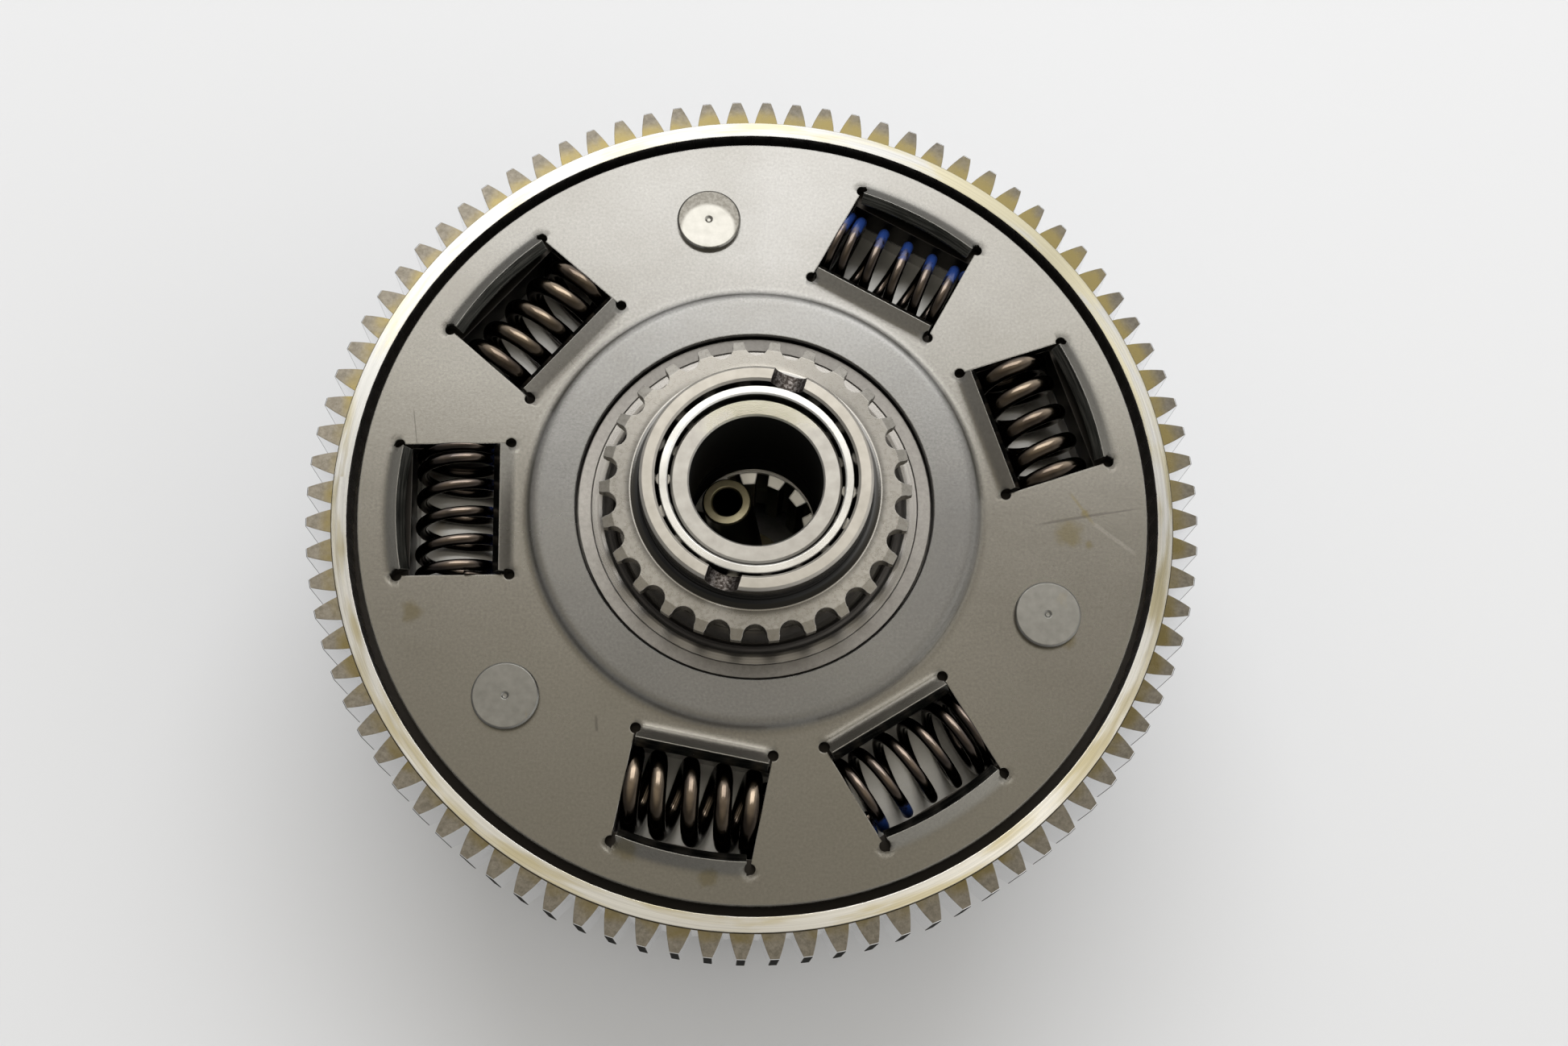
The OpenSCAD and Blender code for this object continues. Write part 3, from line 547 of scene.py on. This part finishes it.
def sprocket_steel():
    """Pump sprocket: grainy pressed face, a polished fillet round the collar, and painted light and shade on
    both.
    """
    tree = Tree("sprocket_steel")
    normal = tree.rounded(0.2 * MM)
    edge = tree.edge(normal)
    grit = tree.noise(0.7 * MM, detail=2.0)
    base = tree.mottled(grit, (0.200, 0.190, 0.172), (0.232, 0.222, 0.204))
    # painted light: the face is lighter or darker by its angle round the axis
    base = tree.shade(base, tree.around((0.94, 1.25, 1.02, 1.34, 1.02, 0.78, 1.02, 1.10)))
    # painted shade: the face darkens towards the fillet, but for its far side, which is painted lighter
    painted_shade_band = tree.flip(tree.rise(tree.radius, FILLET_R + 0.2 * MM, FILLET_R + 1.4 * MM))
    painted_shade_near_fillet = tree.shade(base, tree.around((0.45, 0.48, 0.55, 0.60, 0.45, 0.68, 1.45, 0.60)))
    base = tree.mix(painted_shade_band, base, painted_shade_near_fillet)
    fillet = tree.flip(tree.rise(tree.radius, FILLET_R - 0.05 * MM, FILLET_R + 0.1 * MM))
    # painted reflection: the polished fillet is painted dark, darkest on the side towards -Y
    painted_light_by_angle = tree.around((0.05, 0.025, 0.02, 0.025, 0.06, 0.13, 0.19, 0.11))
    base = tree.mix(fillet, base, tree.shade((1.0, 0.98, 0.94), painted_light_by_angle))
    # painted highlight: a thin light line at the fillet's outer edge
    painted_glint = tree.band(tree.radius, FILLET_R, FILLET_R + 0.22 * MM, 0.06 * MM)
    base = tree.mix(tree.times(painted_glint, 0.6), base, (0.50, 0.485, 0.46))
    base = tree.mix(tree.times(edge, tree.flip(fillet)), base, (0.34, 0.33, 0.31))
    rough = tree.blend(fillet, tree.remap(grit, 0.3, 0.7, 0.25, 0.32), 0.14)
    return tree.finish(base, rough, tree.bump(tree.noise(0.3 * MM), 0.005 * MM, normal))


def rivet_steel(name, dark, light, roughness, oil):
    """A rivet's head: pressed steel. oil goes from 0, dry, to 1, wet. The wet one has a dark crescent
    painted round its middle: a painted reflection."""
    tree = Tree(name)
    normal = tree.rounded(0.25 * MM)
    mottle = tree.noise(1.4 * MM, detail=4.0)
    base = tree.mottled(mottle, dark, light)
    stain = oil_patches(tree, 7 * MM, amount=0.40, seed=3.0)
    base = tree.mix(tree.times(stain, 0.35), base, (0.22, 0.18, 0.10))
    # painted reflection: a dark crescent, broken by speckles, round the middle of the wet rivet's head
    if oil > 0.5:
        crescent_centre = polar(RIVET_CIRCLE_R, RIVET_ANGLE + 120, LAND_Z) - Vector((0, 1.9 * MM, 0))
        painted_reflection_crescent = tree.flip(tree.spot(crescent_centre, 4.6 * MM, 0.8 * MM))
        speckle = tree.rise(tree.noise(0.5 * MM, detail=3.0), 0.40, 0.60)
        base = tree.mix(tree.times(painted_reflection_crescent, tree.blend(speckle, 1.0, 0.8)), base, (0.085, 0.080, 0.070))
    rough = tree.blend(tree.times(stain, oil), roughness, 0.08)
    fine = tree.bump(tree.noise(0.2 * MM), 0.003 * MM, normal)
    wavy = tree.bump(tree.noise(6 * MM, detail=1.0), 0.35 * MM * oil + 0.01 * MM, fine)
    return tree.finish(base, rough, wavy)


def rod_steel():
    """Release rod: oily, yellowish at its end, with its sides and bore painted dark as shade."""
    tree = Tree("rod_steel")
    mottle = tree.noise(1.2 * MM)
    end = tree.mottled(mottle, (0.78, 0.70, 0.46), (0.92, 0.84, 0.58))
    # painted shade: the faces that don't look up are painted dark
    base = tree.mix(tree.rise(tree.faces((0.0, 0.0, 1.0)), 0.6, 0.9), (0.060, 0.055, 0.040), end)
    return tree.finish(base, 0.36, tree.bump(tree.noise(0.2 * MM), 0.004 * MM, tree.rounded(0.25 * MM)))


def spring_steel(name, color, warm, paint=None):
    """Damper spring wire: dark oil-tempered steel with a bronze bloom. paint is the name of an
    attribute that holds how far a blue paint mark covers each point."""
    tree = Tree(name)
    bloom = tree.noise(4 * MM, detail=3.0)
    base = tree.mottled(bloom, color, warm, 0.35)
    # painted highlight: the wire is lighter where it faces up and a little towards +Y, darker down its sides
    worn = tree.rise(tree.dot(tree.geometry("Normal"), (0.0, 0.17, 0.985)), 0.82, 0.998)
    base = tree.shade(base, tree.blend(worn, 0.42, 1.75))
    rough = tree.remap(tree.noise(1.2 * MM), 0.3, 0.7, 0.14, 0.22)
    metallic = 1.0
    if paint:
        mask = tree.add("ShaderNodeAttribute", attribute_name=paint).outputs["Fac"]
        flaked = tree.times(tree.noise(1.1 * MM, detail=4.0), 0.8)
        painted = tree.rise(tree.sum(mask, flaked), 0.66, 1.05)
        base = tree.mix(painted, base, (0.012, 0.034, 0.150))
        rough = tree.blend(painted, rough, 0.30)
        metallic = tree.flip(painted)
    pits = tree.noise(0.35 * MM, detail=3.0)
    return tree.finish(base, rough, tree.bump(pits, 0.006 * MM), metallic)


def cast_aluminium():
    """Basket, hub and pressure plate: die-cast skin with machined rims, brighter edges."""
    tree = Tree("cast_aluminium")
    normal = tree.rounded(0.4 * MM)
    edge = tree.edge(normal)
    mottle = tree.noise(6 * MM, detail=5.0, rough=0.6)
    base = tree.mottled(mottle, (0.40, 0.397, 0.386), (0.54, 0.535, 0.52))
    oil = oil_patches(tree, 18 * MM, amount=0.35, seed=5.0)
    base = tree.mix(tree.times(oil, 0.4), base, (0.42, 0.35, 0.22))
    base = tree.mix(tree.times(edge, 0.6), base, (0.68, 0.67, 0.65))
    # painted shade: the hub's spline bore is painted black, and only its lead-in is light
    bore = tree.times(
        tree.flip(tree.rise(tree.radius, SPLINE_BORE_R, SPLINE_BORE_R + 0.4 * MM)),
        tree.rise(tree.z, SPLINE_LOW, SPLINE_LOW + 0.5 * MM),
    )
    lead_in = tree.rise(tree.z, SPLINE_LEAD_IN, SPLINE_LEAD_IN + 0.15 * MM)
    base = tree.mix(bore, base, tree.mix(lead_in, (0.012, 0.012, 0.011), (0.95, 0.94, 0.90)))
    rough = tree.blend(oil, tree.remap(mottle, 0.3, 0.7, 0.36, 0.46), 0.24)
    skin = tree.noise(0.5 * MM, detail=3.0)
    return tree.finish(base, rough, tree.bump(skin, 0.012 * MM, normal))


def friction_plate():
    """Friction plate: brown cork-like lining on a metal core that shows at the tabs."""
    tree = Tree("friction_lining")
    normal = tree.rounded(0.2 * MM)
    crumb = tree.noise(0.7 * MM, detail=5.0, rough=0.7)
    lining = tree.mix(tree.rise(crumb, 0.40, 0.62), (0.055, 0.038, 0.024), (0.17, 0.115, 0.065))
    metal = tree.mottled(crumb, (0.42, 0.41, 0.39), (0.56, 0.55, 0.53))
    core = tree.rise(tree.radius, LINING_OUTER_R + 0.05 * MM, LINING_OUTER_R + 0.25 * MM)
    base = tree.mix(core, lining, metal)
    rough = tree.blend(core, 0.72, 0.38)
    relief = tree.bump(tree.blend(core, crumb, tree.times(crumb, 0.2)), 0.03 * MM, normal)
    return tree.finish(base, rough, relief, core)


def put_on(material, *names):
    """Make this the one material of these nodes."""
    for name in names:
        slots = nodes[name].data.materials
        slots.clear()
        slots.append(material)


def numbered(stem, count):
    """Names of nodes from stem_1 on."""
    return [f"{stem}_{k}" for k in range(1, count + 1)]


put_on(stamped_steel(), "damper_plate")
put_on(gear_steel(), "primary_gear")
put_on(collar_steel(), "housing_boss")
put_on(sleeve_steel(), "bearing_sleeve")
put_on(sprocket_steel(), "oil_pump_sprocket")
put_on(
    rivet_steel("rivet_steel", (0.165, 0.162, 0.150), (0.200, 0.196, 0.183), roughness=0.33, oil=0.1),
    "damper_rivet_1",
    "damper_rivet_3",
)
# the wet rivet's steel is painted a little lighter than the others': a painted highlight
put_on(
    rivet_steel("rivet_steel_wet_painted_reflection", (0.205, 0.200, 0.182), (0.230, 0.224, 0.205), roughness=0.12, oil=1.0),
    "damper_rivet_2",
)
put_on(cast_aluminium(), "clutch_housing", "clutch_hub", "pressure_plate")
put_on(
    plain_metal("cage_steel", (0.63, 0.625, 0.605), 0.22, 0.2 * MM, depth=0.002 * MM, worn=1.05, rings=True),
    "needle_cage",
)
put_on(
    plain_metal("bearing_steel", (0.55, 0.54, 0.52), 0.14, 0.2 * MM, depth=0.002 * MM, worn=1.15),
    "needle_rollers",
    "bearing_outer_race",
    "bearing_inner_race",
    "bearing_balls",
)
put_on(
    plain_metal("turned_steel", (0.30, 0.285, 0.27), 0.26, 0.25 * MM, worn=1.3, rings=True),
    "thrust_washer",
    "gear_cushion_spring",
)
put_on(
    plain_metal("plate_steel", (0.30, 0.305, 0.31), 0.30, 0.3 * MM),
    "judder_seat",
    "judder_spring",
    *numbered("steel_plate", 6),
)
put_on(friction_plate(), *numbered("friction_plate", 7))
put_on(rod_steel(), "release_rod")
put_on(
    plain_metal("bolt_steel", (0.27, 0.262, 0.25), 0.30, 0.2 * MM),
    *numbered("spring_bolt", 5),
    *numbered("spring_washer", 5),
)

# ---- coil springs ----


def coil_x(turn, pitch, even_turns, closed_pitch):
    """Place along the spring after a number of turns from its middle: even pitch, then closed ends."""
    if abs(turn) <= even_turns:
        return pitch * turn
    return math.copysign(pitch * even_turns + closed_pitch * (abs(turn) - even_turns), turn)


def coil(name, mean_r, wire_r, half_length, pitch, even_turns, lead=0.0, paint_at=None):
    """A round-wire coil spring along +X about the origin, with its ends closed and ground flat.

    lead turns the coil back about X so that a turn stands on top at that many metres from the
    middle. paint_at is (angle about X, half width, lowest x), in radians and metres."""
    sides, steps_per_turn = 18, 56
    smooth = 0.25  # turns either way over which a change of pitch is averaged
    closed_pitch = 2.04 * wire_r  # the end turns almost touch
    # the wire goes on a little beyond the ends, and the grinding takes that off
    end_turns = even_turns + (half_length + 0.2 * wire_r - pitch * even_turns) / closed_pitch
    steps = int(2 * end_turns * steps_per_turn)
    start = -2 * math.pi * lead / pitch + math.pi / 2
    mesh = bmesh.new()
    mark = mesh.verts.layers.float.new("paint")
    rings = []
    for i in range(steps + 1):
        turn = -end_turns + 2 * end_turns * i / steps
        x = sum(coil_x(turn + smooth * k / 4, pitch, even_turns, closed_pitch) for k in range(-4, 5)) / 9
        a = 2 * math.pi * turn + start
        radial = Vector((0.0, math.cos(a), math.sin(a)))
        ring = []
        for j in range(sides):
            b = 2 * math.pi * j / sides
            p = radial * (mean_r + wire_r * math.cos(b))
            p.x = x + wire_r * math.sin(b)
            p.x = max(-half_length, min(half_length, p.x))
            v = mesh.verts.new(p)
            if paint_at:
                centre, half, lowest = paint_at
                off = abs((a - centre + math.pi) % (2 * math.pi) - math.pi)
                v[mark] = max(0.0, 1.0 - off / half) if p.x > lowest else 0.0
            ring.append(v)
        rings.append(ring)
    for first, second in zip(rings, rings[1:]):
        for j in range(sides):
            n = (j + 1) % sides
            mesh.faces.new((first[j], second[j], second[n], first[n]))
    mesh.faces.new(rings[0])
    mesh.faces.new(list(reversed(rings[-1])))
    bmesh.ops.recalc_face_normals(mesh, faces=mesh.faces)
    for face in mesh.faces:
        face.smooth = len(face.verts) == 4
    data = bpy.data.meshes.new(name)
    mesh.to_mesh(data)
    mesh.free()
    piece = bpy.data.objects.new(name, data)
    bpy.context.scene.collection.objects.link(piece)
    return piece


def settle(piece, matrix):
    """Put a piece in its place by moving its mesh, so that its object stays at the origin."""
    piece.data.transform(matrix)


light = dict(wire_r=1.0 * MM, pitch=5.05 * MM, even_turns=1.95)
strong = dict(wire_r=1.55 * MM, pitch=5.7 * MM, even_turns=1.6)
# wire, lead and paint mark (a lowest x of -1.0 keeps the whole spring in), as WINDOW_ANGLES has them
DAMPER_SPRINGS = [
    (light, 0.85 * MM, (math.radians(12), math.radians(48), 3 * MM)),
    (light, 1.06 * MM, (math.radians(38), math.radians(62), -1.0)),
    (light, -0.6 * MM, (math.radians(172), math.radians(45), -1.0)),
    (strong, 0.2 * MM, None),
    (strong, 0.85 * MM, None),
    (strong, 0.4 * MM, None),
]

light_steel = spring_steel("light_spring_steel", (0.052, 0.044, 0.040), (0.105, 0.084, 0.068), "paint")
strong_steel = spring_steel("strong_spring_steel", (0.058, 0.046, 0.037), (0.125, 0.100, 0.075))
# the twist shortens a window most at its side away from the clutch's axis, where the spring has to fit
for number, (angle, (wire, lead, paint_at)) in enumerate(zip(WINDOW_ANGLES, DAMPER_SPRINGS), 1):
    shape = dict(mean_r=SPRING_OUTER_R - wire["wire_r"], half_length=SPRING_HALF, lead=lead, **wire)
    piece = coil(f"coil_damper_{number}", paint_at=paint_at, **shape)
    place = polar(SPRING_CIRCLE_R, angle, SPRING_Z)
    settle(piece, Matrix.Translation(place) @ Matrix.Rotation(math.radians(angle - 90), 4, "Z"))
    piece.data.materials.append(light_steel if wire is light else strong_steel)
    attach(piece, "damper_springs")
    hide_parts(f"damper_spring_{number}")
    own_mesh(piece)

coil_steel = plain_metal("coil_steel", (0.24, 0.248, 0.256), 0.26, 0.3 * MM)
for number in range(1, 6):
    low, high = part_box(f"clutch_spring_{number}")
    half = (high.z - low.z) / 2
    shape = dict(mean_r=8.25 * MM, wire_r=1.25 * MM, half_length=half, pitch=4.4 * MM, even_turns=1.75)
    piece = coil(f"coil_clutch_{number}", **shape)
    place = polar(CLUTCH_SPRING_CIRCLE_R, 72 * (number - 1), low.z + half)
    settle(piece, Matrix.Translation(place) @ Matrix.Rotation(math.radians(-90), 4, "Y"))
    piece.data.materials.append(coil_steel)
    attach(piece, "hub")
    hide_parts(f"clutch_spring_{number}")
    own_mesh(piece)

# ---- floor, light and camera ----


def area_light(name, place, target, size, radiance):
    """A rectangular soft box that looks this bright from the front."""
    data = bpy.data.lights.new(name, "AREA")
    data.shape = "RECTANGLE"
    data.size, data.size_y = size
    data.energy = radiance * math.pi * size[0] * size[1]
    lamp = bpy.data.objects.new(name, data)
    lamp.location = place
    lamp.rotation_euler = (Vector(target) - Vector(place)).to_track_quat("-Z", "Y").to_euler()
    bpy.context.scene.collection.objects.link(lamp)


def room():
    """Light from all round: warm overhead, and the walls are brighter behind the clutch and on its
    right."""
    world = bpy.data.worlds.new("studio")
    world.use_nodes = True
    bpy.context.scene.world = world
    sky = world.node_tree
    looking = sky.nodes.new("ShaderNodeTexCoord").outputs["Generated"]
    direction = sky.nodes.new("ShaderNodeSeparateXYZ")
    sky.links.new(looking, direction.inputs[0])
    ceiling = sky.nodes.new("ShaderNodeMapRange")  # 0 near the horizon, 1 overhead
    ceiling.interpolation_type = "SMOOTHSTEP"
    ceiling.inputs["From Min"].default_value = 0.35
    ceiling.inputs["From Max"].default_value = 0.92
    sky.links.new(direction.outputs["Z"], ceiling.inputs["Value"])
    lean = sky.nodes.new("ShaderNodeVectorMath")  # more towards the bright walls
    lean.operation = "DOT_PRODUCT"
    lean.inputs[1].default_value = (0.45, 0.45, 0.0)
    sky.links.new(looking, lean.inputs[0])
    brighter = sky.nodes.new("ShaderNodeMapRange")
    brighter.inputs["From Min"].default_value = -0.5
    brighter.inputs["From Max"].default_value = 0.4
    sky.links.new(lean.outputs["Value"], brighter.inputs["Value"])
    wall = sky.nodes.new("ShaderNodeMix")  # colour of the walls, from the dim side to the bright one
    wall.data_type = "RGBA"
    wall.inputs[6].default_value = (0.60, 0.60, 0.60, 1.0)
    wall.inputs[7].default_value = (2.28, 2.27, 2.24, 1.0)
    sky.links.new(brighter.outputs["Result"], wall.inputs["Factor"])
    tint = sky.nodes.new("ShaderNodeMix")  # from the walls' colour to the ceiling's
    tint.data_type = "RGBA"
    tint.inputs[7].default_value = (1.0, 0.93, 0.79, 1.0)
    sky.links.new(wall.outputs[2], tint.inputs[6])
    sky.links.new(ceiling.outputs["Result"], tint.inputs["Factor"])
    sky.links.new(tint.outputs[2], sky.nodes["Background"].inputs["Color"])
    sky.nodes["Background"].inputs["Strength"].default_value = 0.73


def photo_camera():
    """The camera that was fitted to the photo. eye and target are in the row frame."""
    eye = Vector((0.0, -99.52, 411.57)) * MM
    target = Vector((5.36, -2.89, 70.0)) * MM
    roll = math.radians(3.687)
    forward = (target - eye).normalized()
    right = forward.cross(Vector((0, 1, 0))).normalized()
    upward = right.cross(forward)
    camera_x = math.cos(roll) * right + math.sin(roll) * upward
    camera_y = math.cos(roll) * upward - math.sin(roll) * right
    camera_data = bpy.data.cameras.new("camera")
    camera_data.lens = 46.25
    camera_data.sensor_width = 36.0
    camera_data.clip_start = 0.01
    camera = bpy.data.objects.new("camera", camera_data)
    camera.matrix_world = Matrix(
        (
            (camera_x.x, camera_y.x, -forward.x, eye.x),
            (camera_x.y, camera_y.y, -forward.y, eye.y),
            (camera_x.z, camera_y.z, -forward.z, eye.z),
            (0.0, 0.0, 0.0, 1.0),
        )
    )
    bpy.context.scene.collection.objects.link(camera)
    bpy.context.scene.camera = camera


area_light("north_box", place=(0.0, 0.70, 1.01), target=(0.0, 0.0, 0.06), size=(1.05, 0.70), radiance=3.6)
room()

reach = 3.0
floor_mesh = bpy.data.meshes.new("floor")
floor_mesh.from_pydata(
    [(-reach, -reach, 0), (reach, -reach, 0), (reach, reach, 0), (-reach, reach, 0)], [], [(0, 1, 2, 3)]
)
floor = bpy.data.objects.new("floor", floor_mesh)
bpy.context.scene.collection.objects.link(floor)
paper = Tree("white_paper")
floor_mesh.materials.append(paper.finish((0.648, 0.664, 0.700), 0.75, metallic=0.0))

photo_camera()
bpy.context.scene.view_settings.view_transform = "Standard"
